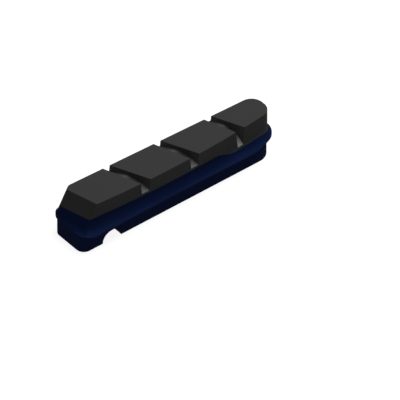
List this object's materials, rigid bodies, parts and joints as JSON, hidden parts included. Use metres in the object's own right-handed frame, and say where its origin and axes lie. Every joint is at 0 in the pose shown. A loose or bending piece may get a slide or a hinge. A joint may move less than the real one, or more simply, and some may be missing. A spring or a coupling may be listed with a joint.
{
  "type": "bicycle rim brake pad",
  "caption": "Long brake pad insert: a slotted black friction block moulded onto a blue, flanged and tapered rail that slides into a rim brake shoe and is held by a screw at a cross notch.",
  "frame": {"origin": "on the rail's flat back face, at its square end, half-way across the rail", "axes": "+X along the rail from the square end to the round end, +Z from the back face to the braking face"},
  "size_m": [0.054, 0.0124, 0.0109],
  "materials": {
    "friction_rubber": "matte",
    "backing_rubber": "satin"
  },
  "bodies": {
    "root": {"friction_block": "friction_rubber", "backing_rail": "backing_rubber"}
  },
  "joints": []
}
